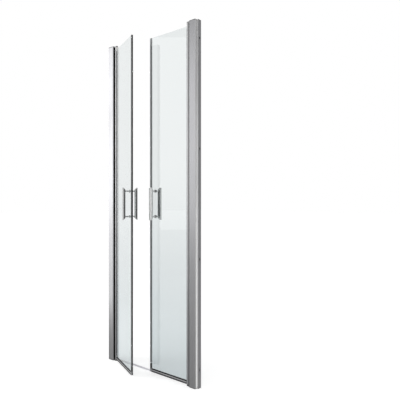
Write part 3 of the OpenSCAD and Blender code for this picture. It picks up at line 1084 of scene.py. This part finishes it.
@dataclass
class EasedParts:
    """Plates and blocks whose sharp edges are eased, as they leave the mould."""

    side: Side
    finisher: Finisher
    cap_edge: float = 0.4 * MM
    block_edge: float = 0.6 * MM
    rail_cap_edge: float = 0.5 * MM
    foot_edge: float = 0.4 * MM
    weld_gap: float = 0.01 * MM

    def eased(self, node: str, width: float) -> bpy.types.Object:
        """Models a node again with its edges eased.

        Args:
            node: name of the node.
            width: width of the easing in metres.

        Returns:
            The eased piece.
        """
        make_active(frame["nodes"][node])
        bpy.ops.object.duplicate(linked=False)
        piece = bpy.context.object
        piece.name = f"{node}_eased"
        bpy.ops.object.mode_set(mode="EDIT")
        bpy.ops.mesh.select_all(action="SELECT")
        bpy.ops.mesh.remove_doubles(threshold=self.weld_gap)
        bpy.ops.object.mode_set(mode="OBJECT")
        round_edges(piece, width)
        return piece

    def build(self) -> list[bpy.types.Object]:
        """Builds every eased piece of one side.

        Returns:
            The finished pieces.
        """
        leaf = self.side.body
        table = [("top_cap", "dark_plastic", "frame", self.cap_edge),
                 ("bottom_cap", "dark_plastic", "frame", self.cap_edge),
                 ("top_pivot_block", "block_silver", "frame", self.block_edge),
                 # Painted shade: the lower pivot block is like the upper one, but wears the
                 # near-black nylon.
                 ("bottom_pivot_block", "dark_plastic", "frame", self.block_edge),
                 ("rail_end_cap", "cap_grey", leaf, self.rail_cap_edge),
                 ("edge_foot", "edge_black", leaf, self.foot_edge)]
        pieces = []
        for part, slot, body, width in table:
            node = f"{self.side.value}_{part}"
            piece = self.eased(node, width)
            self.finisher.dress_piece(piece, slot)
            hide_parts(node)
            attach(piece, body)
            pieces.append(piece)
        return pieces


@dataclass(frozen=True)
class SoftLamp:
    """A soft lamp. Reflections show it, but neither the camera nor a look through glass does."""

    name: str
    at: tuple[float, float, float]
    aim: tuple[float, float, float]
    size: tuple[float, float]
    power: float

    def hang(self) -> None:
        """Hangs the lamp at its place, so that it faces its aim."""
        data = bpy.data.lights.new(self.name, "AREA")
        data.shape = "RECTANGLE"
        data.size, data.size_y = self.size
        data.energy = self.power
        lamp = bpy.data.objects.new(self.name, data)
        lamp.location = self.at
        facing = Vector(self.aim) - Vector(self.at)
        lamp.rotation_euler = facing.to_track_quat("-Z", "Y").to_euler()
        lamp.visible_camera = False
        lamp.visible_transmission = False
        bpy.context.scene.collection.objects.link(lamp)


@dataclass
class Studio:
    """A pale floor, a white surround, soft lamps and the photograph's camera."""

    floor_size: float = 60.0
    floor_drop: float = 0.3 * MM
    # The floor throws light back as a pale grey. Where it is seen it is darker, but glows by as
    # much, so that it stays white and the door's shadow on it stays faint.
    floor_shade: float = 0.93
    floor_seen: float = 0.6
    floor_glow: float = 0.59
    # The surround gives a little less light than its white would.
    surround_light: float = 0.75
    surround_seen: float = 1.0
    # The grey card on the right gives the metal its darker faces. Only reflections show it.
    card_at: tuple[float, float, float] = (2.6, 0.1, 1.6)
    card_size: tuple[float, float] = (3.2, 2.4)
    card_shade: float = 0.18
    lens: float = 40.27
    sensor: float = 36.0
    camera_at: tuple[float, float, float] = (1.8762, -1.8204, 0.9959)
    camera_turn: float = 39.65
    camera_reach: tuple[float, float] = (0.05, 200.0)
    lamps: tuple[SoftLamp, ...] = (
        SoftLamp("left_soft_lamp", (-1.27, -0.79, 1.25), (-0.34, -0.03, 1.25), (0.5, 2.5), 10.5),
        SoftLamp("front_soft_lamp", (2.35, -2.3, 1.0), (0.35, 0, 0.8), (1.6, 1.8), 14),
        SoftLamp("high_soft_lamp", (-1.9, -2.4, 1.8), (0, 0, 1.4), (2.4, 2.4), 19))

    def camera(self) -> None:
        """Places the camera level, where the photograph was taken."""
        data = bpy.data.cameras.new("camera")
        data.lens = self.lens
        data.sensor_width = self.sensor
        data.clip_start, data.clip_end = self.camera_reach
        camera = bpy.data.objects.new("camera", data)
        camera.location = self.camera_at
        camera.rotation_euler = (math.radians(90), 0, math.radians(self.camera_turn))
        bpy.context.scene.collection.objects.link(camera)
        bpy.context.scene.camera = camera

    def surround(self) -> None:
        """Makes the world white where it is seen, and a plain pale light elsewhere."""
        world = bpy.data.worlds.new("white_surround")
        bpy.context.scene.world = world
        world.use_nodes = True
        tree = world.node_tree
        tree.nodes.clear()
        light, white = (add_node(tree, "ShaderNodeBackground",
                                 {"Color": (1, 1, 1, 1), "Strength": strength}).outputs[0]
                        for strength in (self.surround_light, self.surround_seen))
        mix = add_node(tree, "ShaderNodeMixShader", {0: background_ray(tree), 1: light, 2: white})
        add_node(tree, "ShaderNodeOutputWorld", {"Surface": mix.outputs[0]})

    def floor(self) -> None:
        """Lays a pale floor that keeps the door's soft shadow."""
        deselect_all()
        bpy.ops.mesh.primitive_plane_add(size=self.floor_size, location=(0, 0, -self.floor_drop))
        floor = bpy.context.object
        floor.name = "pale_floor"
        material, tree = new_material("pale_matt_floor")
        seen = background_ray(tree)
        shade = calculate(tree, "MULTIPLY_ADD", seen, self.floor_seen - self.floor_shade,
                          self.floor_shade)
        lift = calculate(tree, "MULTIPLY", seen, self.floor_glow)
        matt = add_node(tree, "ShaderNodeBsdfDiffuse", {"Color": shade})
        glow = add_node(tree, "ShaderNodeEmission", {"Color": (1, 1, 1, 1), "Strength": lift})
        total = add_node(tree, "ShaderNodeAddShader", {0: matt.outputs[0], 1: glow.outputs[0]})
        add_node(tree, "ShaderNodeOutputMaterial", {"Surface": total.outputs[0]})
        floor.data.materials.append(material)

    def card(self) -> None:
        """Stands the grey card on the right, facing the door."""
        deselect_all()
        bpy.ops.mesh.primitive_plane_add(size=1)
        card = bpy.context.object
        card.name = "grey_card"
        place = Matrix.Translation(self.card_at) @ Matrix.Rotation(math.radians(90), 4, "Y")
        set_in_place(card, place @ Matrix.Diagonal((*self.card_size, 1, 1)))
        material, tree = new_material("grey_card")
        grey = (self.card_shade, self.card_shade, self.card_shade, 1)
        matt = add_node(tree, "ShaderNodeBsdfDiffuse", {"Color": grey})
        add_node(tree, "ShaderNodeOutputMaterial", {"Surface": matt.outputs[0]})
        card.data.materials.append(material)
        for ray in ("camera", "diffuse", "transmission", "shadow", "volume_scatter"):
            setattr(card, f"visible_{ray}", False)

    def build(self) -> None:
        """Sets up the whole studio and the plain view settings."""
        self.camera()
        self.surround()
        self.floor()
        self.card()
        for lamp in self.lamps:
            lamp.hang()
        bpy.context.scene.view_settings.view_transform = "Standard"


def main() -> None:
    """Builds and dresses the door, then the studio round it."""
    logging.basicConfig(level=logging.INFO, format="%(name)s: %(message)s")
    finisher = Finisher()
    finisher.dress_nodes()
    for side in Side:
        for assembly in (BarHandle, ScrewCovers, EasedParts):
            for piece in assembly(side, finisher).build():
                log.info("built %s", piece.name)
    Studio().build()


if __name__ == "__main__":
    main()
